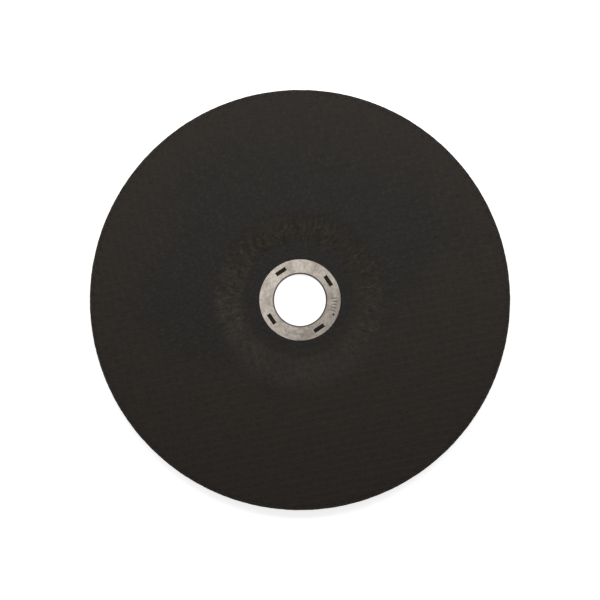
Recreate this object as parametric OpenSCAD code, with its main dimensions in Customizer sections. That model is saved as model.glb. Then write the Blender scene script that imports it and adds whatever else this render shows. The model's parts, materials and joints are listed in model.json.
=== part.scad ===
// Depressed-centre cut-off wheel with a stamped steel centre ring.
// It lies with its hollow side up, on the flat back of the hub at z = 0.
// The origin is on the bore axis, in the plane of the back of the hub.

/* [Wheel] */
// Outside diameter of the wheel
wheel_d = 180; // [125:1:230]
// Thickness of the moulded abrasive wall, the same from the bore to the rim
wall_t = 3; // [1.6:0.1:4]
// Chamfer on both edges of the rim
rim_chamfer = 0.3; // [0.1:0.05:0.6]

/* [Depressed centre] */
// Height that the rim stands above the hub
dish_depth = 4.6; // [4:0.1:6]
// Radius of the flat hub, where the wall starts to rise
hub_flat_r = 24.1; // [22:0.1:28]
// Angle of the sloping wall to the plane of the wheel, in degrees
slope_angle = 22.7; // [15:0.1:30]
// Inside radius of the bend at the foot of the slope
foot_r = 5.7; // [3:0.1:8]
// Outside radius of the bend at the shoulder of the slope
shoulder_r = 16.8; // [10:0.1:20]

/* [Centre ring] */
// Diameter of the bore through the steel collar
bore_d = 22.23; // [16:0.01:25.4]
// Outside diameter of the flange
flange_d = 35; // [33:0.1:40]
// Thickness of the sheet steel
sheet_t = 0.4; // [0.3:0.05:0.6]
// Inside radius of the bend between flange and collar
collar_bend = 0.3; // [0.1:0.05:0.5]
// Height that the end of the collar stays above the back of the hub
collar_setback = 0.3; // [0.1:0.05:0.6]
// Clearance between the steel and the abrasive around it
ring_gap = 0.05; // [0.02:0.01:0.1]

/* [Lanced slots] */
// Number of slots around the flange
slot_count = 4; // [2:1:6]
// Angle of the first slot from the X axis, in degrees
slot_start = 34; // [0:1:90]
// Length of a slot along the flange
slot_l = 4.9; // [3:0.1:6]
// Width of a slot across the flange
slot_w = 1.65; // [1:0.05:2]
// Depth that the tab bent out of a slot bites into the abrasive
tab_bite = 1.4; // [0.5:0.1:1.5]

/* [Punched hole] */
// Diameter of the small hole through the flange
pinhole_d = 0.8; // [0.5:0.1:1.2]
// Angle of the small hole from the X axis, in degrees
pinhole_angle = 336.2; // [330:0.1:345]
// Distance from the small hole to the outer edge of the flange
pinhole_inset = 1.8; // [1.2:0.1:2.2]

/* [Reinforcing net] */
// Distance between weft threads
weft_pitch = 3.17; // [2.8:0.01:6]
// Distance between warp threads
warp_pitch = 3.36; // [2.8:0.01:6]
// Width of a weft thread
weft_w = 1.2; // [0.6:0.1:2]
// Width of a warp thread, which is a pair of strands side by side
warp_w = 1.4; // [0.6:0.1:2]
// Thickness of a thread
thread_t = 0.1; // [0.05:0.05:0.15]
// Angle of the weft threads to the X axis, in degrees
net_turn = 11; // [0:1:45]
// Angle from the weft threads to the warp threads, in degrees
net_skew = 91; // [88:1:92]

/* [Hidden] */
$fn = 96;

wheel_r = wheel_d / 2;
bore_r = bore_d / 2;
flange_r = flange_d / 2;

// Heights of the hollow side, which faces up
hub_top = wall_t;
rim_top = wall_t + dish_depth;

// Centres of the two bends, as radius and height
foot_centre = [hub_flat_r, hub_top + foot_r];
bends_rise = (foot_r + shoulder_r) * (1 - cos(slope_angle));
slope_l = (dish_depth - bends_rise) / sin(slope_angle);
slope_run = (foot_r + shoulder_r) * sin(slope_angle) + slope_l * cos(slope_angle);
shoulder_centre = [hub_flat_r + slope_run, rim_top - shoulder_r];

// The net lies on the hollow side in two layers, and the flange is level with its top
net_t = 2 * thread_t;
flange_top = hub_top + net_t;
seat_z = flange_top - sheet_t;

// The collar and its bend
collar_r = bore_r + sheet_t;
bend_r = collar_bend + sheet_t;
bend_centre = [bore_r + bend_r, flange_top - bend_r];

// The slots lie midway between the bend and the edge of the flange
slot_mid_r = (bend_centre[0] + flange_r) / 2;

// Far enough past a surface to cut it cleanly
over = 1;
// Straight steps in each bend of the slope
bend_steps = 6;

// Points of an arc around a centre, from angle a0 to angle a1
function arc(centre, r, a0, a1) =
    [for (i = [0:bend_steps]) let (a = a0 + (a1 - a0) * i / bend_steps) centre + r * [cos(a), sin(a)]];

// Line of the dish at depth d under the hollow side, from the hub's edge to the shoulder's end
function dish_line(d) = concat(
    arc(foot_centre, foot_r + d, -90, slope_angle - 90),
    arc(shoulder_centre, shoulder_r - d, slope_angle + 90, 90));

function backwards(points) = [for (i = [len(points) - 1:-1:0]) points[i]];

// Section of the dished wall, as deep everywhere as it is thick, from radius r_in to radius r_out
module dished_section(r_in, r_out) {
    hollow_side = concat([[r_in, hub_top]], dish_line(0), [[r_out, rim_top]]);
    back = concat([[r_in, 0]], dish_line(wall_t), [[r_out, dish_depth]]);
    polygon(concat(hollow_side, backwards(back)));
}

// Square turned on its corner, which cuts a chamfer of the given leg
module chamfer_cut(corner, leg) {
    translate(corner) rotate(45) square(leg * sqrt(2), center = true);
}

module disc_section() {
    bore_in = collar_r + ring_gap;
    difference() {
        dished_section(bore_in, wheel_r);
        // Shallow seat that the flange is pressed into
        translate([0, seat_z]) square([flange_r + ring_gap, over]);
        chamfer_cut([bore_in, seat_z], collar_bend);
        chamfer_cut([wheel_r, rim_top], rim_chamfer);
        chamfer_cut([wheel_r, dish_depth], rim_chamfer);
    }
}

// Puts a child, drawn at the middle of a slot, at each slot
module at_slots() {
    for (i = [0:slot_count - 1])
        rotate(slot_start + i * 360 / slot_count) translate([slot_mid_r, 0, 0]) children();
}

// Block along the flange, from the outer edge of a slot outwards, under the flange
module tab_block(gap) {
    translate([slot_w / 2 - gap, -slot_l / 2 - gap, seat_z - tab_bite - gap])
        cube([sheet_t + 2 * gap, slot_l + 2 * gap, tab_bite + 2 * gap]);
}

// Resin-bonded abrasive, moulded in one piece around the tabs of the ring
module abrasive_disc() {
    color([0.17, 0.16, 0.15])
        difference() {
            rotate_extrude() disc_section();
            at_slots() tab_block(ring_gap);
        }
}

module ring_section() {
    flat_w = flange_r - bend_centre[0];
    translate([bend_centre[0], seat_z]) square([flat_w, sheet_t]);
    translate([bore_r, collar_setback]) square([sheet_t, bend_centre[1] - collar_setback]);
    intersection() {
        translate(bend_centre)
            difference() {
                circle(bend_r);
                circle(collar_bend);
            }
        translate([bore_r, bend_centre[1]]) square(bend_r);
    }
}

// Stamped steel ring: flange, collar through the bore and tabs lanced out of the slots
module centre_ring() {
    color([0.68, 0.65, 0.61]) {
        difference() {
            rotate_extrude() ring_section();
            at_slots()
                translate([-slot_w / 2, -slot_l / 2, seat_z - over])
                    cube([slot_w, slot_l, sheet_t + 2 * over]);
            rotate(pinhole_angle)
                translate([flange_r - pinhole_inset, 0, seat_z - over])
                    cylinder(d = pinhole_d, h = sheet_t + 2 * over);
        }
        at_slots() tab_block(0);
    }
}

// One layer of the net: parallel threads, cut off at an inner and an outer circle
module net_layer(z, pitch, w, r_in, r_out) {
    side = floor(r_out / pitch);
    translate([0, 0, z])
        linear_extrude(thread_t)
            intersection() {
                difference() {
                    circle(r_out);
                    circle(r_in);
                }
                for (i = [-side:side])
                    translate([-r_out, i * pitch - w / 2]) square([2 * r_out, w]);
            }
}

// Both layers on a flat band of the hollow side: warp threads crossing over weft threads
module net_band(z, r_in, r_out) {
    rotate(net_turn) net_layer(z, weft_pitch, weft_w, r_in, r_out);
    rotate(net_turn + net_skew) net_layer(z + thread_t, warp_pitch, warp_w, r_in, r_out);
}

// Glass-fibre net bonded to the flat hub and the flat rim of the hollow side
module front_net() {
    color([0.2, 0.19, 0.17]) {
        net_band(hub_top, flange_r + ring_gap, hub_flat_r);
        net_band(rim_top, shoulder_centre[0], wheel_r - rim_chamfer);
    }
}

abrasive_disc();
centre_ring();
front_net();
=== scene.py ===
"""Looks of a depressed-centre cut-off wheel: moulded abrasive, woven glass net and stamped steel ring."""

import json

import bpy
import numpy as np
from bpy.props import FloatProperty, FloatVectorProperty, IntProperty, PointerProperty
from bpy.types import Operator, Panel, PropertyGroup
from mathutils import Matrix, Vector


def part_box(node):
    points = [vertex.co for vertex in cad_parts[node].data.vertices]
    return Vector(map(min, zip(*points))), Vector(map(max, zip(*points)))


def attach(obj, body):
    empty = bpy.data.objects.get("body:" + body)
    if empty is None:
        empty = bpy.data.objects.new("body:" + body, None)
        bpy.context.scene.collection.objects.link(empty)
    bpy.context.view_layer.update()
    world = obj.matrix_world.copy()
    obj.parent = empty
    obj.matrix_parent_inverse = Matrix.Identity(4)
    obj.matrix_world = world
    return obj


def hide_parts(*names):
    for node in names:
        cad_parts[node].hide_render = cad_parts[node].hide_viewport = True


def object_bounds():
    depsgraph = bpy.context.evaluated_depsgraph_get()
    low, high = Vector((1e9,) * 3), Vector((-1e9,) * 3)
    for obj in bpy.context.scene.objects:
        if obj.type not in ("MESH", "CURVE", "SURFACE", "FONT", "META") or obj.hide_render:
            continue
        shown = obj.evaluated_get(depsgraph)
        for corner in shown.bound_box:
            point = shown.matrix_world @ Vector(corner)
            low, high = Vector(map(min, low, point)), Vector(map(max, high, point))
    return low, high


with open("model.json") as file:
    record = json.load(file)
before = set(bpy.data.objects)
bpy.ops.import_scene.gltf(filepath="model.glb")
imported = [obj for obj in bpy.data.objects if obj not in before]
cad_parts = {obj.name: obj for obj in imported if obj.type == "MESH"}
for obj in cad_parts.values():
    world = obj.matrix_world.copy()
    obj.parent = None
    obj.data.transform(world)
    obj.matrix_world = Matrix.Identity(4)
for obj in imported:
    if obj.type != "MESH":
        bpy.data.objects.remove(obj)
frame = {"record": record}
CAD_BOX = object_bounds()

bl_info = {
    "name": "Cut-off Wheel",
    "version": (1, 0, 0),
    "blender": (4, 5, 0),
    "location": "View3D > Sidebar > Wheel",
    "description": "Builds the surfaces and finishes of a depressed-centre cut-off wheel",
    "category": "Add Mesh",
}

MM = 0.001
TURN = 2 * np.pi
DISC_LOW, DISC_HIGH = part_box("abrasive_disc")
RING_LOW, RING_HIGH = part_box("centre_ring")
NET_LOW, NET_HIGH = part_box("front_net")
BORE_RADIUS = next(m["dims"]["r_mm"] for m in frame["record"]["mounts"] if m["name"] == "bore") * MM


def length(name, description, default, **more):
    """A property that holds a length in metres."""
    return FloatProperty(
        name=name, description=description, default=default, unit="LENGTH", precision=5, **more
    )


def degrees(name, description, default):
    """A property that holds an angle, kept in radians."""
    return FloatProperty(name=name, description=description, default=np.radians(default), subtype="ANGLE")


def shade(name, description, default):
    """A property that holds a linear colour."""
    return FloatVectorProperty(
        name=name, description=description, default=default, subtype="COLOR", size=3, min=0, max=1
    )


class WheelSizes(PropertyGroup):
    radius: length("Wheel radius", "Outside radius of the wheel", DISC_HIGH.x)
    rim_top: length("Rim height", "Height of the hollow side at the rim", DISC_HIGH.z)
    wall: length("Wall", "Thickness of the moulded wall", 3.0 * MM)
    hub_flat: length("Hub flat", "Radius of the flat hub, where the wall starts to rise", 24.1 * MM)
    slope: degrees("Slope", "Angle of the sloping wall to the plane of the wheel", 22.7)
    foot: length("Foot bend", "Inside radius of the bend at the foot of the slope", 5.7 * MM)
    shoulder: length("Shoulder bend", "Outside radius of the bend at the shoulder", 16.8 * MM)
    rim_round: length("Rim rounding", "Radius of the worn edges of the rim", 0.3 * MM)
    grain: length("Grain", "Height of the coarse grain on the rim", 0.07 * MM)
    wrinkle: length("Wrinkles", "Height of the resin wrinkles on the slope", 0.07 * MM)


class NetSizes(PropertyGroup):
    weft_pitch: length("Weft pitch", "Distance between weft threads", 3.17 * MM)
    warp_pitch: length("Warp pitch", "Distance between warp threads", 3.36 * MM)
    weft_width: length("Weft width", "Width of a weft thread", 1.7 * MM)
    warp_width: length("Warp width", "Width of a warp thread, a pair of strands", 1.9 * MM)
    turn: degrees("Turn", "Angle of the weft threads to the X axis", 11)
    skew: degrees("Skew", "Angle from the weft threads to the warp threads", 91)
    rise: length("Rise", "How far a crossing thread stands out of the resin", 0.033 * MM)


class RingSizes(PropertyGroup):
    flange: length("Flange radius", "Outside radius of the flange", RING_HIGH.x)
    top: length("Flange height", "Height of the visible face of the flange", RING_HIGH.z)
    collar_end: length("Collar end", "Height of the lower end of the collar", RING_LOW.z)
    bore: length("Bore radius", "Radius of the bore through the collar", BORE_RADIUS)
    sheet: length("Sheet", "Thickness of the sheet steel", 0.4 * MM)
    bend: length("Bend", "Outside radius of the bend between flange and collar", 0.7 * MM)
    slot_length: length("Slot length", "Length of a slot along the flange", 4.9 * MM)
    slot_width: length("Slot width", "Width of a slot across the flange", 1.65 * MM)
    slot_start: degrees("First slot", "Angle of the first slot from the X axis", 34)
    slots: IntProperty(name="Slots", description="Number of slots around the flange", default=4, min=2)
    pinhole: length("Small hole", "Radius of the small punched hole", 0.4 * MM)
    pinhole_inset: length("Hole inset", "Distance from the small hole to the edge of the flange", 1.8 * MM)
    pinhole_at: degrees("Hole angle", "Angle of the small hole from the X axis", 336.2)


class WheelFinish(PropertyGroup):
    centre_black: shade("Centre", "Resin colour near the hub", (0.0189, 0.0168, 0.0143))
    rim_brown: shade("Rim", "Resin colour towards the rim", (0.0222, 0.0173, 0.0131))
    slope_brown: shade("Slope", "Resin colour on the wrinkled slope", (0.0291, 0.0240, 0.0192))
    # painted shade: a dark brown that stands in for the shade inside the slots of the ring
    slot_shade_brown: shade("Seat", "Colour of the abrasive under the ring, seen through the slots", (0.0110, 0.0068, 0.0042))
    bare_grain: shade("Bare grain", "Colour of the bare abrasive grains on the rim", (0.070, 0.058, 0.046))
    thread: shade("Thread", "Colour of the net under its resin", (0.0157, 0.0137, 0.0112))
    zinc: shade("Zinc", "Colour of the zinc-coated steel", (0.535, 0.485, 0.43))
    stain: shade("Stain", "Colour of the dull stains on the steel", (0.33, 0.29, 0.25))


class StudioSettings(PropertyGroup):
    distance: length("Camera distance", "Distance from the camera to the rim, straight above it", 0.9)
    view_width: length("View width", "Width of the view in the plane of the rim", 0.2566)
    key_power: FloatProperty(name="Key power", description="Power of the key light", default=0.855, subtype="POWER")
    key_width: length("Key width", "Width of the key light, across the picture", 0.56)
    key_depth: length("Key depth", "Depth of the key light, up the picture", 0.16)
    fill: FloatProperty(name="Fill", description="Strength of the even light of the studio", default=0.29)


SETTINGS = {
    "wheel_sizes": WheelSizes,
    "wheel_net": NetSizes,
    "wheel_ring": RingSizes,
    "wheel_finish": WheelFinish,
    "wheel_studio": StudioSettings,
}


def smooth_step(low, high, x):
    """Zero below low, one above high, and the cubic 3t^2 - 2t^3 between them."""
    t = np.clip((x - low) / (high - low), 0, 1)
    return t * t * (3 - 2 * t)


def value_noise(x, y, seed, wrap=0):
    """Smooth noise from -1 to 1: random heights on a unit lattice, blended by cubic steps.

    With wrap, the lattice repeats after that many cells along x."""
    cells = 256
    heights = np.random.default_rng(seed).uniform(-1, 1, (cells, cells))
    x0, y0 = np.floor(x).astype(int), np.floor(y).astype(int)
    tx, ty = x - x0, y - y0
    tx, ty = tx * tx * (3 - 2 * tx), ty * ty * (3 - 2 * ty)
    span = wrap or cells
    xa, xb = x0 % span % cells, (x0 + 1) % span % cells
    ya, yb = y0 % cells, (y0 + 1) % cells
    low = heights[xa, ya] * (1 - tx) + heights[xb, ya] * tx
    high = heights[xa, yb] * (1 - tx) + heights[xb, yb] * tx
    return low * (1 - ty) + high * ty


def grid_faces(rows, columns, start=0):
    """Quads of a grid of rows by columns that closes on itself both ways."""
    i, k = np.meshgrid(np.arange(rows), np.arange(columns), indexing="ij")
    i1, k1 = (i + 1) % rows, (k + 1) % columns
    corners = [i * columns + k, i * columns + k1, i1 * columns + k1, i1 * columns + k]
    return start + np.stack(corners, -1)


def signed_volume(points, faces):
    """Sum of the tetrahedra between the origin and each fan of triangles of the faces."""
    total = 0.0
    for group in faces:
        for j in range(1, group.shape[1] - 1):
            a, b, c = points[group[:, 0]], points[group[:, j]], points[group[:, j + 1]]
            total += np.einsum("ij,ij->i", a, np.cross(b, c)).sum()
    return total


def make_object(name, points, faces, material, replaced, attributes=None):
    """Puts arrays of points and faces into a mesh with its faces outwards, and fits it to the frame."""
    points = np.ascontiguousarray(points.reshape(-1, 3))
    faces = [group.reshape(-1, group.shape[-1]) for group in faces if group.size]
    if signed_volume(points, faces) < 0:
        faces = [group[:, ::-1] for group in faces]
    corners = np.concatenate([group.ravel() for group in faces])
    counts = np.concatenate([np.full(len(group), group.shape[1]) for group in faces])
    mesh = bpy.data.meshes.new(name)
    mesh.vertices.add(len(points))
    mesh.loops.add(len(corners))
    mesh.polygons.add(len(counts))
    mesh.vertices.foreach_set("co", points.ravel())
    mesh.loops.foreach_set("vertex_index", corners)
    mesh.polygons.foreach_set("loop_start", np.concatenate([[0], np.cumsum(counts)[:-1]]))
    mesh.polygons.foreach_set("use_smooth", np.ones(len(counts), bool))
    for label, values in (attributes or {}).items():
        layer = mesh.attributes.new(label, "FLOAT", "POINT")
        layer.data.foreach_set("value", np.ascontiguousarray(values.ravel(), np.float32))
    mesh.update(calc_edges=True)
    if mesh.validate():
        raise RuntimeError(f"{name} has faulty faces")
    mesh.materials.append(material)
    piece = bpy.data.objects.new(name, mesh)
    bpy.context.scene.collection.objects.link(piece)
    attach(piece, "root")
    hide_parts(*replaced)
    return piece


def dish_line(sizes, depth, radius):
    """Height of the dished wall at a radius, at a depth under its hollow side.

    A flat hub, an arc up from it, a straight slope, an arc over the shoulder and a flat rim."""
    foot, shoulder = sizes.foot + depth, sizes.shoulder - depth
    sine, cosine = np.sin(sizes.slope), np.cos(sizes.slope)
    dish = sizes.rim_top - sizes.wall
    both = sizes.foot + sizes.shoulder
    slope_length = (dish - both * (1 - cosine)) / sine
    shoulder_at = sizes.hub_flat + both * sine + slope_length * cosine
    foot_end = sizes.hub_flat + foot * sine
    hub_z = sizes.wall - depth
    on_foot = hub_z + foot - np.sqrt(np.maximum(foot**2 - (radius - sizes.hub_flat) ** 2, 0))
    on_slope = hub_z + foot * (1 - cosine) + (radius - foot_end) * np.tan(sizes.slope)
    on_shoulder = sizes.rim_top - depth - shoulder
    on_shoulder = on_shoulder + np.sqrt(np.maximum(shoulder**2 - (radius - shoulder_at) ** 2, 0))
    zones = [
        radius < sizes.hub_flat,
        radius < foot_end,
        radius < shoulder_at - shoulder * sine,
        radius < shoulder_at,
    ]
    return np.select(zones, [hub_z, on_foot, on_slope, on_shoulder], sizes.rim_top - depth)


def wrinkled_band(radius, angle):
    """How wrinkled the resin is, from 0 to 1, at a radius in mm and an angle.

    Full on the slope, faded out on both sides of it and towards the smooth side of the wheel: a
    bell curve around each of three directions, added up."""
    band = smooth_step(22.8, 28, radius) * (1 - smooth_step(31, 39, radius))
    side = 0
    for towards, spread, share in ((178, 0.55, 1.0), (92, 0.4, 0.75), (15, 0.35, 0.55)):
        apart = (angle - np.radians(towards) + np.pi) % TURN - np.pi
        side = side + share * np.exp(-(apart**2) / spread)
    return band * (0.42 + 0.58 * np.clip(side, 0, 1))


def wrinkles(radius, angle):
    """Height of the resin wrinkles, from about -1 to 1, at a radius in mm and an angle.

    Noise in cells a little longer along the radius than around it, bent by a slower noise."""
    around = angle / TURN
    swirl = 0.008 * value_noise(around * 31, radius / 3.4, 5, wrap=31)
    fine = value_noise((around + swirl) * 251, radius / 2.3, 11, wrap=251)
    broad = value_noise((around - swirl) * 113, radius / 3.1, 12, wrap=113)
    ridged = 0.9 * fine + 0.5 * (1 - 2 * np.abs(broad))
    return ridged * wrinkled_band(radius, angle)


def disc_section(sizes, ring):
    """Rows of the closed section of the abrasive, as radius, height and outward direction.

    The path goes up the bore, over the seat of the ring, out along the hollow side, over the
    rim and back along the other side."""
    seat = ring.top - ring.sheet - 0.02 * MM
    bore = ring.bore + ring.sheet + 0.05 * MM
    wall_r = np.full(3, bore)
    wall_z = np.linspace(0.25 * MM, seat - 0.35 * MM, 3)
    seat_r = np.array([bore + 0.35 * MM, bore + 0.7 * MM, ring.flange - 0.4 * MM, ring.flange + 0.04 * MM])
    seat_z = np.full(4, seat)
    lip_r = ring.flange + np.array([0.06, 0.10, 0.22]) * MM
    lip_z = sizes.wall + np.array([-0.14, -0.05, 0]) * MM
    front_r = np.concatenate([
        np.linspace(ring.flange + 0.5 * MM, 24 * MM, 15),
        np.linspace(24.3 * MM, 41 * MM, 52),
        np.linspace(44 * MM, sizes.radius - 1.0 * MM, 10),
    ])
    front_z = dish_line(sizes, 0, front_r)
    bend = np.linspace(0, np.pi / 2, 4)
    low = sizes.rim_top - sizes.wall
    edge = sizes.rim_round
    rim_r = np.concatenate([
        sizes.radius - edge + edge * np.sin(bend),
        np.full(5, sizes.radius),
        sizes.radius - edge + edge * np.cos(bend),
    ])
    rim_z = np.concatenate([
        sizes.rim_top - edge + edge * np.cos(bend),
        np.linspace(sizes.rim_top - 0.7 * MM, low + 0.7 * MM, 5),
        low + edge - edge * np.sin(bend),
    ])
    back_r = np.concatenate([
        np.linspace(sizes.radius - 1.0 * MM, 42 * MM, 4),
        np.linspace(39 * MM, 22 * MM, 13),
        np.linspace(19 * MM, bore + 0.3 * MM, 3),
    ])
    back_z = dish_line(sizes, sizes.wall, back_r)
    radius = np.concatenate([wall_r, seat_r, lip_r, front_r, rim_r, back_r])
    height = np.concatenate([wall_z, seat_z, lip_z, front_z, rim_z, back_z])
    along_r = np.roll(radius, -1) - np.roll(radius, 1)
    along_z = np.roll(height, -1) - np.roll(height, 1)
    span = np.hypot(along_r, along_z)
    return radius, height, -along_z / span, along_r / span


def make_disc(context):
    """The abrasive: its closed section carried once around the axis, with grain and wrinkles.

    Each point moves along its outward direction by wrinkle height times wrinkle noise on the
    slope, and by grain height times fine noise on the rim and, less, everywhere else."""
    scene = context.scene
    sizes, ring = scene.wheel_sizes, scene.wheel_ring
    columns = 800
    row_r, row_z, out_r, out_z = disc_section(sizes, ring)
    angle = np.arange(columns) * TURN / columns
    radius, theta = np.meshgrid(row_r, angle, indexing="ij")
    height = np.broadcast_to(row_z[:, None], radius.shape)
    mm_r, mm_z = radius / MM, height / MM
    on_front = (out_z[:, None] > 0.5) & (radius > ring.flange + 0.15 * MM)
    ripple = np.where(on_front, wrinkles(mm_r, theta), 0)
    arc = theta / TURN
    grain = value_noise(arc * 640, mm_z * 1.4 + mm_r * 0.9, 21, wrap=640)
    grain = 0.7 * grain + 0.5 * value_noise(arc * 251, mm_z * 0.8 + mm_r * 0.5, 22, wrap=251)
    on_rim = smooth_step(sizes.radius - 0.8 * MM, sizes.radius, radius)
    free = np.where(on_front | (out_z[:, None] < -0.5) & (radius > 26 * MM), 1.0, 0.0)
    lift = sizes.wrinkle * (ripple - 0.3 * np.abs(ripple)) + sizes.grain * (grain - 1) * on_rim
    lift = lift + 0.008 * MM * grain * free * (1 - on_rim)
    far = radius + lift * out_r[:, None]
    points = np.stack([far * np.cos(theta), far * np.sin(theta), height + lift * out_z[:, None]], -1)
    marks = {
        "wrinkle": ripple,
        "wrinkled": np.where(on_front, wrinkled_band(mm_r, theta), 0),
        "back": smooth_step(0.5, 0.9, -out_z[:, None] + 0 * radius),
        "rim": smooth_step(sizes.radius - 0.5 * MM, sizes.radius - 0.1 * MM, radius),
    }
    material = abrasive_material(scene.wheel_finish, scene.wheel_net)
    return make_object(
        "abrasive_body", points, [grid_faces(*radius.shape)], material, ["abrasive_disc"], marks
    )


def thread_family(sizes, ring, net, pitch, other, width, turn, grooved, seed):
    """One family of parallel threads, each a flat six-sided strand along its own line.

    Along a line the strand's height follows half a cosine wave for each crossing, turned over on
    every other line, so that it goes over and under. Its width wanders with a slow noise."""
    samples = 6
    step = other / samples
    outer, inner = sizes.radius - 0.5 * MM, ring.flange + 0.4 * MM
    lines = np.arange(-int(outer / pitch), int(outer / pitch) + 1)
    marks = np.arange(-int(outer / step), int(outer / step) + 1)
    line, mark = np.meshgrid(lines, marks, indexing="ij")
    u = mark * step
    sway = 0.22 * MM * value_noise(u / (14 * MM) + 60, line * 3.7, seed)
    v = line * pitch + sway + 0.1 * MM * value_noise(line * 1.9, line * 0 + 0.5, seed + 1)
    inside = (np.hypot(u, v) < outer - width / 2) & (np.hypot(u, v) > inner)
    wave = np.cos(np.pi * (mark / samples + line)) * (1 if grooved else -1)
    radius = np.hypot(u, v)
    sink = 1 - smooth_step(inner, inner + 1.2 * MM, radius)
    uneven = value_noise(u / (5 * MM) + 40, line * 2.3, seed + 2)
    crown = net.rise * (0.70 + 0.24 * wave + 0.06 * uneven) - 0.07 * MM * sink
    half = width / 2 * (1 + 0.10 * uneven + 0.08 * wave)
    across = np.array([-1, -0.62, 0, 0.62, 1, 0]) if grooved else np.array([-1, -0.72, 0, 0.72, 1, 0])
    rise = np.array([0, 0.92, 0.72, 0.92, 0, 0]) if grooved else np.array([0, 0.82, 0.94, 0.82, 0, 0])
    deep = np.array([0.03, 0, 0, 0, 0.03, 0.16]) * MM
    y = v[..., None] + half[..., None] * across
    x = np.broadcast_to(u[..., None], y.shape)
    cosine, sine = np.cos(turn), np.sin(turn)
    x, y = x * cosine - y * sine, x * sine + y * cosine
    around = np.hypot(x, y)
    ripple = wrinkles(around / MM, np.arctan2(y, x) % TURN)
    base = dish_line(sizes, 0, around) + sizes.wrinkle * (ripple - 0.3 * np.abs(ripple))
    z = base - 0.03 * MM - deep + (crown[..., None] + 0.03 * MM + deep) * rise
    points = np.stack([x, y, z], -1)
    joined = inside[:, 1:] & inside[:, :-1]
    used = np.zeros(inside.shape, bool)
    used[:, 1:] |= joined
    used[:, :-1] |= joined
    number = np.full(inside.shape, -1)
    number[used] = np.arange(used.sum())
    a, b = number[:, :-1][joined] * 6, number[:, 1:][joined] * 6
    side = np.arange(6)
    after = (side + 1) % 6
    walls = np.stack([a[:, None] + side, b[:, None] + side, b[:, None] + after, a[:, None] + after], -1)
    before = np.zeros(inside.shape, bool)
    before[:, 1:] = joined
    behind = np.zeros(inside.shape, bool)
    behind[:, :-1] = joined
    starts = number[used & ~before] * 6
    ends = number[used & ~behind] * 6
    caps = np.concatenate([starts[:, None] + side, ends[:, None] + side[::-1]])
    crowned = wave[..., None] * np.array([0.5, 0.85, 1, 0.85, 0.5, 0])
    run = np.broadcast_to(u[..., None] / MM + 200 * (line[..., None] % 7), y.shape)
    strand = half[..., None] * across / MM + 30 * (line[..., None] % 11)
    wrinkled = wrinkled_band(around / MM, np.arctan2(y, x) % TURN)
    marks = {"crown": crowned, "wrinkle": ripple, "wrinkled": wrinkled, "run": run, "strand": strand}
    return points[used], [walls, caps], {name: values[used] for name, values in marks.items()}


def make_net(context):
    """The woven net, as two pieces: weft strands and paired warp strands."""
    scene = context.scene
    sizes, ring, net = scene.wheel_sizes, scene.wheel_ring, scene.wheel_net
    material = net_material(scene.wheel_finish)
    points, faces, marks = thread_family(
        sizes, ring, net, net.weft_pitch, net.warp_pitch, net.weft_width, net.turn, False, 31
    )
    make_object("net_weft", points, faces, material, ["front_net"], marks)
    points, faces, marks = thread_family(
        sizes, ring, net, net.warp_pitch, net.weft_pitch, net.warp_width, net.turn + net.skew, True, 41
    )
    make_object("net_warp", points, faces, material, ["front_net"], marks)


def ring_section(ring):
    """Rows of the closed section of the ring, as radius and height, with matching rows above and below.

    The path goes up the inside of the collar, around the bend, out along the flange, over its
    edge, back under the flange, around the bend and down the outside of the collar. The number
    of the first flat row and the radii of the flat rows come with it."""
    inner_bend = ring.bend - ring.sheet
    centre_r, centre_z = ring.bore + ring.bend, ring.top - ring.bend
    middle = (centre_r + ring.flange) / 2
    half = ring.slot_width / 2
    hole = ring.flange - ring.pinhole_inset
    edge = 0.1 * MM
    fixed = np.concatenate([
        middle - half + np.array([-0.14, -0.05, 0]) * MM,
        middle + half + np.array([0, 0.05, 0.14]) * MM,
        [hole - ring.pinhole, hole + ring.pinhole],
    ])
    even = np.arange(centre_r + 0.1 * MM, ring.flange - 0.25 * MM, 0.14 * MM)
    apart = np.abs(even[:, None] - fixed[None, :]).min(1) > 0.055 * MM
    flat = np.sort(np.concatenate([even[apart], fixed]))
    turn = np.linspace(0, np.pi / 2, 9)[1:]
    nose = np.linspace(0, np.pi / 2, 4)
    low, under = ring.collar_end, ring.top - ring.sheet
    outside = ring.bore + ring.sheet
    radius = np.concatenate([
        np.full(7, ring.bore),
        centre_r - ring.bend * np.cos(turn),
        flat,
        ring.flange - edge + edge * np.sin(nose),
        ring.flange - edge + edge * np.cos(nose),
        flat[::-1],
        centre_r - inner_bend * np.sin(turn),
        np.full(6, outside),
        outside - edge + edge * np.cos(nose),
        ring.bore + edge - edge * np.sin(nose[:-1]),
    ])
    height = np.concatenate([
        np.linspace(low + edge, centre_z, 7),
        centre_z + ring.bend * np.sin(turn),
        np.full(len(flat), ring.top),
        ring.top - edge + edge * np.cos(nose),
        under + edge - edge * np.sin(nose),
        np.full(len(flat), under),
        centre_z + inner_bend * np.cos(turn),
        np.linspace(centre_z - 0.1 * MM, low + 2 * edge, 6),
        low + edge - edge * np.sin(nose),
        low + edge - edge * np.cos(nose[:-1]),
    ])
    return radius, height, 7 + len(turn), flat


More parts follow.
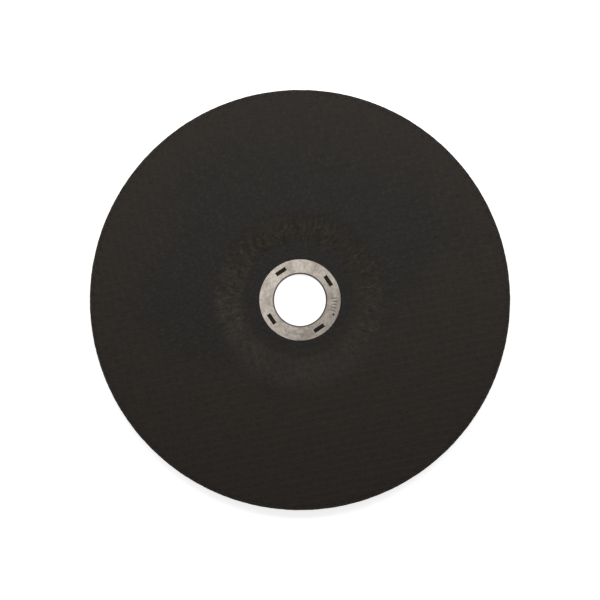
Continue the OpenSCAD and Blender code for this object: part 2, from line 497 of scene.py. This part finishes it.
def stamped(radius, angle):
    """Depth from 0 to 1 of the stamped tally: plain bars and pips in three groups, at a radius in mm.

    In a group the distance around the ring is folded onto the nearest mark, and the depth is one
    where both that distance and the distance along the mark are small."""
    deep = np.zeros(radius.shape)
    middle = 14.8
    for centre, bars, pitch, reach, strength in (
        (352, 5, 1.35, 1.1, 1.0), (258, 6, 1.25, 0.15, 1.0), (62, 4, 1.35, 1.1, 0.5),
    ):
        around = ((angle - np.radians(centre) + np.pi) % TURN - np.pi) * middle
        place = around / pitch + (bars - 1) / 2
        apart = np.abs(place - np.clip(np.round(place), 0, bars - 1)) * pitch
        bar = 1 - smooth_step(0.12, 0.30, apart)
        bar = bar * (1 - smooth_step(reach, reach + 0.25, np.abs(radius - middle)))
        deep = np.maximum(deep, strength * bar)
    return deep


def nearest(values, wanted):
    """Place in the values of the one nearest to each wanted value."""
    return np.abs(values[None, :] - wanted[:, None]).argmin(1)


def window(faces, keep, rows, columns, mirror, shift):
    """Takes the cells between two rows and two columns out of both flat sides and walls the hole.

    The wall joins the loop of points around the opening above to the same loop below. The
    shift is the column number added for each copy of the opening."""
    (top, bottom), (left, right) = rows, columns
    wide, deep = right - left, bottom - top
    open_columns = (shift[:, None] + np.arange(left, right)).ravel()
    keep[top:bottom, open_columns] = False
    keep[mirror - bottom:mirror - top, open_columns] = False
    loop_rows = np.concatenate([
        np.full(wide, top), np.arange(top, bottom), np.full(wide, bottom), np.arange(bottom, top, -1),
    ])
    loop_columns = np.concatenate([
        np.arange(left, right), np.full(deep, right), np.arange(right, left, -1), np.full(deep, left),
    ])
    per_row = faces.shape[1]
    above = loop_rows * per_row + loop_columns + shift[:, None]
    under = (mirror - loop_rows) * per_row + loop_columns + shift[:, None]
    walls = np.stack([above, np.roll(above, -1, 1), np.roll(under, -1, 1), under], -1)
    return walls.reshape(-1, 4)


def make_ring(context):
    """The steel ring: its closed section carried around the axis, with windows cut through the flange.

    Near a slot the polar grid is blended into the slot's own straight lines. Near the small hole
    each point keeps its direction and its distance becomes that to the square around the hole,
    so that the square turns into a circle. Stamped bars sink into the upper side."""
    scene = context.scene
    ring = scene.wheel_ring
    row_r, row_z, first, flat = ring_section(ring)
    middle = (ring.bore + ring.bend + ring.flange) / 2
    half = ring.slot_length / 2 / middle
    sector = TURN / ring.slots
    hole_r = ring.flange - ring.pinhole_inset
    hole_at = (ring.pinhole_at - ring.slot_start) % sector
    hole_sector = int((ring.pinhole_at - ring.slot_start) % TURN // sector)
    lip = np.array([0, 0.05, 0.14, 0.3]) * MM / middle
    inner = np.linspace(-half, half, 31)[1:-1]
    outer = half + lip
    free = outer[-1] + np.linspace(0, 1, 112)[1:-1] * (sector - 2 * outer[-1])
    sides = hole_at + np.array([-1, 0, 1]) * ring.pinhole / hole_r
    free = free[np.abs(free[:, None] - sides[None, :]).min(1) > 0.055 * MM / hole_r]
    local = np.concatenate([-outer[::-1], inner, outer, np.sort(np.concatenate([free, sides]))])
    angle = (np.arange(ring.slots)[:, None] * sector + local[None, :]).ravel()
    around = np.tile((local + sector / 2) % sector - sector / 2, ring.slots)
    radius, phi = np.meshgrid(row_r, around, indexing="ij")
    turned = ring.slot_start + np.broadcast_to(angle - around, radius.shape)
    height = np.repeat(row_z[:, None], len(angle), 1)
    along = middle * phi
    near = 1 - smooth_step(ring.slot_length / 2 + 0.3 * MM, ring.slot_length / 2 + 2.2 * MM, np.abs(along))
    near = near * (1 - smooth_step(ring.slot_width / 2 + 0.3 * MM, 2.2 * MM, np.abs(radius - middle)))
    x = near * radius + (1 - near) * radius * np.cos(phi)
    y = near * along + (1 - near) * radius * np.sin(phi)
    gap_x = np.maximum(np.abs(radius - middle) - ring.slot_width / 2, 0)
    gap_y = np.maximum(np.abs(along) - ring.slot_length / 2, 0)
    rolled = np.clip(1 - np.hypot(gap_x, gap_y) / (0.14 * MM), 0, 1) ** 2
    x, y = x * np.cos(turned) - y * np.sin(turned), x * np.sin(turned) + y * np.cos(turned)

    out_x, out_y = np.cos(ring.pinhole_at), np.sin(ring.pinhole_at)
    far, aside = x * out_x + y * out_y - hole_r, y * out_x - x * out_y
    square = np.maximum(np.abs(radius - hole_r), hole_r * np.abs((phi + turned - ring.pinhole_at + np.pi) % TURN - np.pi))
    reach = np.maximum(np.hypot(far, aside), 1e-9)
    pull = 1 - smooth_step(ring.pinhole, 3 * ring.pinhole, square)
    scale = 1 + pull * (square / reach - 1)
    far, aside = hole_r + far * scale, aside * scale
    x, y = far * out_x - aside * out_y, far * out_y + aside * out_x

    upper = np.zeros(radius.shape, bool)
    upper[first:first + len(flat)] = True
    marks = np.where(upper, stamped(radius / MM, phi + turned), 0)
    flow = value_noise(x / (1.7 * MM) + 40, y / (1.7 * MM) + 40, 51)
    worn = np.where(upper, 0.012 * MM * (flow - 1), 0)
    height = height - np.where(upper, 0.05 * MM * rolled, 0) - 0.09 * MM * marks + worn
    points = np.stack([x, y, height], -1)
    faces = grid_faces(*radius.shape)
    keep = np.ones(radius.shape, bool)
    mirror = 2 * first + 2 * len(flat) + 7
    shift = np.arange(ring.slots) * len(local)
    slot_rows = first + nearest(flat, middle + np.array([-0.5, 0.5]) * ring.slot_width)
    hole_rows = first + nearest(flat, hole_r + np.array([-1, 1]) * ring.pinhole)
    slot_columns, hole_columns = nearest(local, np.array([-half, half])), nearest(local, sides[[0, 2]])
    walls = [
        window(faces, keep, slot_rows, slot_columns, mirror, shift),
        window(faces, keep, hole_rows, hole_columns, mirror, shift[[hole_sector]]),
    ]
    used = [np.concatenate([faces[keep], *walls])]
    return make_object(
        "steel_ring", points, used, zinc_material(scene.wheel_finish), ["centre_ring"],
        {"stamp": marks},
    )


def node_tree(name):
    """A new material with an empty tree, its output and a principled shader joined to it."""
    material = bpy.data.materials.new(name)
    material.use_nodes = True
    tree = material.node_tree
    tree.nodes.clear()
    output = tree.nodes.new("ShaderNodeOutputMaterial")
    shader = tree.nodes.new("ShaderNodeBsdfPrincipled")
    tree.links.new(shader.outputs[0], output.inputs[0])
    return material, tree, shader


def add(tree, kind, inputs=None, **settings):
    """Adds a node, sets its settings and links or sets its inputs."""
    node = tree.nodes.new(kind)
    for key, value in settings.items():
        setattr(node, key, value)
    for key, value in (inputs or {}).items():
        if isinstance(value, bpy.types.NodeSocket):
            tree.links.new(value, node.inputs[key])
        else:
            node.inputs[key].default_value = value
    return node


def math(tree, operation, a, b=0.0):
    """Result of one sum on two numbers or sockets."""
    return add(tree, "ShaderNodeMath", {0: a, 1: b}, operation=operation).outputs[0]


def noise(tree, where, scale, detail=2.0, roughness=0.5):
    """Value of a noise of so many cells a metre."""
    settings = {"Vector": where, "Scale": scale, "Detail": detail, "Roughness": roughness}
    return add(tree, "ShaderNodeTexNoise", settings).outputs["Fac"]


def ranged(tree, value, low, high, to_low=0.0, to_high=1.0):
    """Value carried from one range to another and kept inside it."""
    settings = {"Value": value, "From Min": low, "From Max": high, "To Min": to_low, "To Max": to_high}
    return add(tree, "ShaderNodeMapRange", settings).outputs["Result"]


def mixed(tree, factor, a, b, blend="MIX"):
    """Two colours mixed by a factor."""
    node = add(tree, "ShaderNodeMix", data_type="RGBA", blend_type=blend)
    for key, value in ((0, factor), (6, a), (7, b)):
        if isinstance(value, bpy.types.NodeSocket):
            tree.links.new(value, node.inputs[key])
        else:
            node.inputs[key].default_value = value
    return node.outputs[2]


def rgba(colour):
    return (*colour, 1.0)


def grains(tree, where, scale):
    """Shade and height, from 0 to 1, of grains packed so many to a metre, each with its own shade.

    The height of a grain falls from its middle to its joints with its neighbours."""
    bent = add(tree, "ShaderNodeTexNoise", {"Vector": where, "Scale": scale}).outputs["Color"]
    bent = add(tree, "ShaderNodeVectorMath", {0: bent, 3: 0.6 / scale}, operation="SCALE").outputs[0]
    place = add(tree, "ShaderNodeVectorMath", {0: where, 1: bent}, operation="ADD").outputs[0]
    packed = add(tree, "ShaderNodeTexVoronoi", {"Vector": place, "Scale": scale}).outputs
    shade_of = add(tree, "ShaderNodeSeparateColor", {0: packed["Color"]}).outputs[0]
    return shade_of, math(tree, "SUBTRACT", 1.0, packed["Distance"])


def streaks(tree, where):
    """Value of a noise in strokes along the radius, under a millimetre wide on the slope.

    The direction from the axis, times forty, stands for the place around it, so that the noise
    meets itself after a turn."""
    flat = add(tree, "ShaderNodeVectorMath", {0: where, 1: (1, 1, 0)}, operation="MULTIPLY").outputs[0]
    towards = add(tree, "ShaderNodeVectorMath", {0: flat}, operation="NORMALIZE").outputs[0]
    around = add(tree, "ShaderNodeVectorMath", {0: towards, 3: 29.0}, operation="SCALE").outputs[0]
    radius = add(tree, "ShaderNodeVectorMath", {0: flat}, operation="LENGTH").outputs["Value"]
    out = add(tree, "ShaderNodeCombineXYZ", {2: math(tree, "MULTIPLY", radius, 300.0)}).outputs[0]
    place = add(tree, "ShaderNodeVectorMath", {0: around, 1: out}, operation="ADD").outputs[0]
    bend = add(tree, "ShaderNodeTexNoise", {"Vector": where, "Scale": 130.0}).outputs["Color"]
    bend = add(tree, "ShaderNodeVectorMath", {0: bend, 3: 5.5}, operation="SCALE").outputs[0]
    place = add(tree, "ShaderNodeVectorMath", {0: place, 1: bend}, operation="ADD").outputs[0]
    return noise(tree, place, 1.0, 3.0, 0.6)


def resin_colour(tree, finish, where, base, fine):
    """Colour of the resin: black by the hub, browner to the rim, in soft blotches and a fine pattern, with painted
    shade under the ring.
    """
    parts = add(tree, "ShaderNodeSeparateXYZ", {0: where})
    flat = add(tree, "ShaderNodeCombineXYZ", {0: parts.outputs[0], 1: parts.outputs[1]})
    radius = add(tree, "ShaderNodeVectorMath", {0: flat.outputs[0]}, operation="LENGTH").outputs["Value"]
    blotch = noise(tree, where, 26.0, 3.0, 0.55)
    out = math(tree, "ADD", radius, ranged(tree, blotch, 0.3, 0.7, -0.014, 0.014))
    leaning = add(tree, "ShaderNodeVectorMath", {0: where, 1: (0.2, -0.98, 0.0)}, operation="DOT_PRODUCT")
    out = math(tree, "ADD", out, ranged(tree, leaning.outputs["Value"], -0.01, 0.03, 0.0, 0.045))
    early = math(tree, "ADD", radius, ranged(tree, leaning.outputs["Value"], -0.022, 0.022, -0.001, 0.006))
    slope = math(tree, "MULTIPLY", ranged(tree, early, 0.024, 0.028), ranged(tree, radius, 0.031, 0.039, 0.8, 0.0))
    browned = math(tree, "MAXIMUM", slope, ranged(tree, out, 0.055, 0.087))
    colour = mixed(tree, browned, base, rgba(finish.rim_brown))
    # painted shade: the abrasive under the ring's flange, seen through the slots, is mixed towards a dark brown
    colour = mixed(tree, ranged(tree, radius, 0.0168, 0.0174, 0.8, 0.0), colour, rgba(finish.slot_shade_brown))
    colour = mixed(tree, 1.0, colour, fine, "MULTIPLY")
    cloud = noise(tree, where, 240.0, 4.0, 0.6)
    colour = mixed(tree, 1.0, colour, ranged(tree, cloud, 0.3, 0.7, 0.92, 1.08), "MULTIPLY")
    wrinkled = add(tree, "ShaderNodeAttribute", attribute_name="wrinkled").outputs["Fac"]
    patch = ranged(tree, noise(tree, where, 75.0, 2.0, 0.5), 0.36, 0.64, 0.65, 1.2)
    wrinkled = math(tree, "MULTIPLY", wrinkled, patch)
    stroke = math(tree, "SUBTRACT", streaks(tree, where), 0.5)
    tinted = math(tree, "ADD", wrinkled, stroke)
    colour = mixed(tree, ranged(tree, tinted, 0.1, 0.7), colour, rgba(finish.slope_brown))
    ripple = add(tree, "ShaderNodeAttribute", attribute_name="wrinkle").outputs["Fac"]
    colour = mixed(tree, 1.0, colour, ranged(tree, ripple, -0.6, 0.8, 0.84, 1.19), "MULTIPLY")
    stroke = math(tree, "MULTIPLY", stroke, wrinkled)
    colour = mixed(tree, 1.0, colour, ranged(tree, stroke, -0.16, 0.16, 0.58, 1.40), "MULTIPLY")
    return colour, browned


def pressed_net(tree, where, net):
    """Height from 0 to 1 of a net that shows through the resin: the higher of two rows of waves."""
    turned = []
    for turn, pitch in ((net.turn, net.weft_pitch), (net.turn + net.skew, net.warp_pitch)):
        across = (-np.sin(turn) / pitch * np.pi, np.cos(turn) / pitch * np.pi, 0.0)
        phase = add(tree, "ShaderNodeVectorMath", {0: where, 1: across}, operation="DOT_PRODUCT")
        turned.append(math(tree, "ABSOLUTE", math(tree, "COSINE", phase.outputs["Value"])))
    return math(tree, "SMOOTH_MAX", *turned)


def abrasive_material(finish, net):
    """Black resin and grain, matt, with a brown tint where the resin is wrinkled."""
    material, tree, shader = node_tree("bonded_abrasive")
    where = add(tree, "ShaderNodeTexCoord").outputs["Object"]
    grain, dome = grains(tree, where, 1250.0)
    shine, crumb = grains(tree, where, 2900.0)
    fine = math(tree, "MULTIPLY", ranged(tree, grain, 0.0, 1.0, 0.80, 1.22), ranged(tree, shine, 0.0, 1.0, 0.88, 1.12))
    colour = resin_colour(tree, finish, where, rgba(finish.centre_black), fine)[0]
    rim = add(tree, "ShaderNodeAttribute", attribute_name="rim").outputs["Fac"]
    back = add(tree, "ShaderNodeAttribute", attribute_name="back").outputs["Fac"]
    pressed = math(tree, "MULTIPLY", back, pressed_net(tree, where, net))
    colour = mixed(tree, 1.0, colour, ranged(tree, pressed, 0.72, 1.0, 1.0, 1.4), "MULTIPLY")
    bare = math(tree, "MULTIPLY", rim, ranged(tree, grain, 0.55, 0.95))
    colour = mixed(tree, bare, colour, rgba(finish.bare_grain))
    tree.links.new(colour, shader.inputs["Base Color"])
    tree.links.new(ranged(tree, shine, 0.0, 1.0, 0.50, 0.90), shader.inputs["Roughness"])
    grit = math(tree, "ADD", dome, math(tree, "MULTIPLY", crumb, 0.45))
    lumps = noise(tree, where, 420.0, 2.0, 0.6)
    grit = math(tree, "MULTIPLY", grit, ranged(tree, rim, 0.0, 1.0, 1.0, 2.5))
    relief = math(tree, "ADD", grit, lumps)
    relief = math(tree, "ADD", relief, math(tree, "MULTIPLY", pressed, 0.6))
    bump = add(tree, "ShaderNodeBump", {"Height": relief, "Strength": 0.5, "Distance": 0.00022})
    tree.links.new(bump.outputs[0], shader.inputs["Normal"])
    shader.inputs["Specular IOR Level"].default_value = 0.2
    return material


def net_material(finish):
    """Glass strands soaked in the same black resin, with a painted highlight that makes them lighter where they crown.
    """
    material, tree, shader = node_tree("glass_net")
    where = add(tree, "ShaderNodeTexCoord").outputs["Object"]
    run = add(tree, "ShaderNodeAttribute", attribute_name="run").outputs["Fac"]
    strand = add(tree, "ShaderNodeAttribute", attribute_name="strand").outputs["Fac"]
    lie = add(tree, "ShaderNodeCombineXYZ", {0: math(tree, "MULTIPLY", run, 0.09), 1: strand}).outputs[0]
    fibres = noise(tree, lie, 7.0, 3.0, 0.65)
    strands = ranged(tree, fibres, 0.3, 0.7, 0.84, 1.16)
    colour, browned = resin_colour(tree, finish, where, rgba(finish.thread), strands)
    crown = add(tree, "ShaderNodeAttribute", attribute_name="crown").outputs["Fac"]
    uneven = ranged(tree, noise(tree, where, 210.0, 1.0), 0.36, 0.64, 0.1, 1.0)
    crown = math(tree, "MULTIPLY", ranged(tree, crown, 0.5, 1.0), uneven)
    crown = math(tree, "MULTIPLY", crown, ranged(tree, browned, 0.0, 1.0, 1.15, 0.38))
    # painted highlight: the strands are lighter where they crown at the crossings, more by the hub than towards the rim
    worn = ranged(tree, crown, 0.0, 1.15, 0.95, 1.52)
    tree.links.new(mixed(tree, 1.0, colour, worn, "MULTIPLY"), shader.inputs["Base Color"])
    tree.links.new(ranged(tree, fibres, 0.3, 0.7, 0.50, 0.72), shader.inputs["Roughness"])
    crumb = grains(tree, where, 2900.0)[1]
    relief = math(tree, "ADD", math(tree, "MULTIPLY", crumb, 0.5), math(tree, "MULTIPLY", fibres, 0.8))
    relief = math(tree, "ADD", relief, noise(tree, where, 420.0, 2.0, 0.6))
    bump = add(tree, "ShaderNodeBump", {"Height": relief, "Strength": 0.5, "Distance": 0.00022})
    tree.links.new(bump.outputs[0], shader.inputs["Normal"])
    shader.inputs["Specular IOR Level"].default_value = 0.2
    return material


def zinc_material(finish):
    """Dull zinc-coated steel: mottled crystals, faint rolling lines and brownish stains, with painted light and shade:
    lighter to the upper left, a dark bore edge and dark stamped bars.
    """
    material, tree, shader = node_tree("ring_steel")
    where = add(tree, "ShaderNodeTexCoord").outputs["Object"]
    mottle = noise(tree, where, 700.0, 4.0, 0.65)
    patches = noise(tree, where, 190.0, 3.0, 0.6)
    stained = ranged(tree, patches, 0.42, 0.66, 0.0, 0.7)
    colour = mixed(tree, stained, rgba(finish.zinc), rgba(finish.stain))
    colour = mixed(tree, 1.0, colour, ranged(tree, mottle, 0.32, 0.68, 0.70, 1.26), "MULTIPLY")
    pits = noise(tree, where, 1700.0, 2.0, 0.6)
    colour = mixed(tree, 1.0, colour, ranged(tree, pits, 0.24, 0.36, 0.55, 1.0), "MULTIPLY")
    parts = add(tree, "ShaderNodeSeparateXYZ", {0: where}).outputs
    # painted light: the ring is lighter towards the upper left of the picture and darker towards the lower right
    leaning = math(tree, "SUBTRACT", math(tree, "MULTIPLY", parts[1], 0.5), math(tree, "MULTIPLY", parts[0], 0.87))
    painted_light_slant = ranged(tree, leaning, -0.017, 0.017, 0.82, 1.18)
    colour = mixed(tree, 1.0, colour, painted_light_slant, "MULTIPLY")
    flat = add(tree, "ShaderNodeCombineXYZ", {0: parts[0], 1: parts[1]})
    radius = add(tree, "ShaderNodeVectorMath", {0: flat.outputs[0]}, operation="LENGTH").outputs["Value"]
    # painted shade: the bore's edge and the bend of the collar are darkened, down to three tenths
    painted_bore_shade = ranged(tree, radius, 0.01155, 0.01195, 0.30, 1.0)
    colour = mixed(tree, 1.0, colour, painted_bore_shade, "MULTIPLY")
    stamp = add(tree, "ShaderNodeAttribute", attribute_name="stamp").outputs["Fac"]
    # painted shade: the stamped bars are darker the deeper they are stamped
    colour = mixed(tree, 1.0, colour, ranged(tree, stamp, 0.2, 1.0, 1.0, 0.62), "MULTIPLY")
    tree.links.new(colour, shader.inputs["Base Color"])
    shader.inputs["Metallic"].default_value = 1.0
    tree.links.new(ranged(tree, mottle, 0.3, 0.7, 0.50, 0.70), shader.inputs["Roughness"])
    scratches = add(tree, "ShaderNodeMapping", {"Vector": where, "Scale": (1.0, 9.0, 1.0)})
    lines = noise(tree, scratches.outputs[0], 500.0, 3.0, 0.7)
    relief = math(tree, "ADD", mottle, math(tree, "MULTIPLY", lines, 0.4))
    bump = add(tree, "ShaderNodeBump", {"Height": relief, "Strength": 0.35, "Distance": 0.00008})
    tree.links.new(bump.outputs[0], shader.inputs["Normal"])
    return material


def floor_material():
    """White paper that the camera, glossy and clear rays see nearly white, with the part's shadow on it.

    It is open to the light of the studio from below and to a look from below, so that the back
    of the wheel can be seen."""
    material, tree, shader = node_tree("studio_floor")
    shader.inputs["Base Color"].default_value = (0.9, 0.9, 0.9, 1)
    shader.inputs["Roughness"].default_value = 1.0
    shader.inputs["Specular IOR Level"].default_value = 0.0
    path = add(tree, "ShaderNodeLightPath").outputs
    seen = math(tree, "MAXIMUM", path["Is Camera Ray"], path["Is Glossy Ray"])
    seen = math(tree, "MAXIMUM", seen, path["Is Transmission Ray"])
    glow = add(tree, "ShaderNodeEmission", {"Color": (1, 1, 1, 1), "Strength": math(tree, "MULTIPLY", seen, 0.68)})
    both = add(tree, "ShaderNodeAddShader", {0: shader.outputs[0], 1: glow.outputs[0]})
    beneath = add(tree, "ShaderNodeNewGeometry").outputs["Backfacing"]
    clear = math(tree, "MAXIMUM", math(tree, "MULTIPLY", beneath, path["Is Camera Ray"]), path["Is Shadow Ray"])
    open_below = add(tree, "ShaderNodeBsdfTransparent")
    sheet = add(tree, "ShaderNodeMixShader", {0: clear, 1: both.outputs[0], 2: open_below.outputs[0]})
    output = next(n for n in tree.nodes if n.type == "OUTPUT_MATERIAL")
    tree.links.new(sheet.outputs[0], output.inputs[0])
    return material


def make_stage(context):
    """White floor, even studio light, one soft key light from the top of the picture, and the camera."""
    scene = context.scene
    studio, sizes = scene.wheel_studio, scene.wheel_sizes
    mesh = bpy.data.meshes.new("floor")
    reach, low = 2.0, CAD_BOX[0][2]
    corners = [(-reach, -reach, low), (reach, -reach, low), (reach, reach, low), (-reach, reach, low)]
    mesh.from_pydata(corners, [], [(0, 1, 2, 3)])
    mesh.materials.append(floor_material())
    floor = bpy.data.objects.new("floor", mesh)
    scene.collection.objects.link(floor)

    world = bpy.data.worlds.new("studio")
    world.use_nodes = True
    tree = world.node_tree
    tree.nodes.clear()
    path = add(tree, "ShaderNodeLightPath").outputs
    strength = ranged(tree, path["Is Camera Ray"], 0.0, 1.0, studio.fill, 1.0)
    ground = add(tree, "ShaderNodeBackground", {"Color": (1, 1, 1, 1), "Strength": strength})
    output = add(tree, "ShaderNodeOutputWorld")
    tree.links.new(ground.outputs[0], output.inputs[0])
    scene.world = world

    lamp = bpy.data.lights.new("key", "AREA")
    lamp.energy = studio.key_power
    lamp.shape = "RECTANGLE"
    lamp.size = studio.key_width
    lamp.size_y = studio.key_depth
    key = bpy.data.objects.new("key", lamp)
    key.location = (0.015, 0.12, 0.28)
    key.visible_camera = False
    scene.collection.objects.link(key)

    camera = bpy.data.cameras.new("camera")
    camera.sensor_width = 36.0
    camera.lens = camera.sensor_width * studio.distance / studio.view_width
    camera.clip_start = 0.01
    eye = bpy.data.objects.new("camera", camera)
    eye.location = (0, 0, sizes.rim_top + studio.distance)
    scene.collection.objects.link(eye)
    scene.camera = eye
    scene.view_settings.view_transform = "Standard"


class WHEEL_OT_disc(Operator):
    """Build the moulded abrasive body"""

    bl_idname = "wheel.make_disc"
    bl_label = "Abrasive Body"

    def execute(self, context):
        make_disc(context)
        return {"FINISHED"}


class WHEEL_OT_net(Operator):
    """Build the woven glass net in the hollow side"""

    bl_idname = "wheel.make_net"
    bl_label = "Glass Net"

    def execute(self, context):
        make_net(context)
        return {"FINISHED"}


class WHEEL_OT_ring(Operator):
    """Build the stamped steel ring"""

    bl_idname = "wheel.make_ring"
    bl_label = "Steel Ring"

    def execute(self, context):
        make_ring(context)
        return {"FINISHED"}


class WHEEL_OT_stage(Operator):
    """Set up the floor, the lights and the camera"""

    bl_idname = "wheel.make_stage"
    bl_label = "Stage"

    def execute(self, context):
        make_stage(context)
        return {"FINISHED"}


STEPS = (WHEEL_OT_stage, WHEEL_OT_disc, WHEEL_OT_net, WHEEL_OT_ring)


class WHEEL_PT_panel(Panel):
    bl_idname = "WHEEL_PT_panel"
    bl_label = "Cut-off Wheel"
    bl_space_type = "VIEW_3D"
    bl_region_type = "UI"
    bl_category = "Wheel"

    def draw(self, context):
        for name, group in SETTINGS.items():
            box = self.layout.box()
            for key in group.__annotations__:
                box.prop(getattr(context.scene, name), key)
        for step in STEPS:
            self.layout.operator(step.bl_idname)


CLASSES = (*SETTINGS.values(), *STEPS, WHEEL_PT_panel)


def register():
    for cls in CLASSES:
        bpy.utils.register_class(cls)
    for name, group in SETTINGS.items():
        setattr(bpy.types.Scene, name, PointerProperty(type=group))


def unregister():
    for name in SETTINGS:
        delattr(bpy.types.Scene, name)
    for cls in reversed(CLASSES):
        bpy.utils.unregister_class(cls)


def main():
    register()
    bpy.ops.wheel.make_stage()
    bpy.ops.wheel.make_disc()
    bpy.ops.wheel.make_net()
    bpy.ops.wheel.make_ring()


if __name__ == "__main__":
    main()
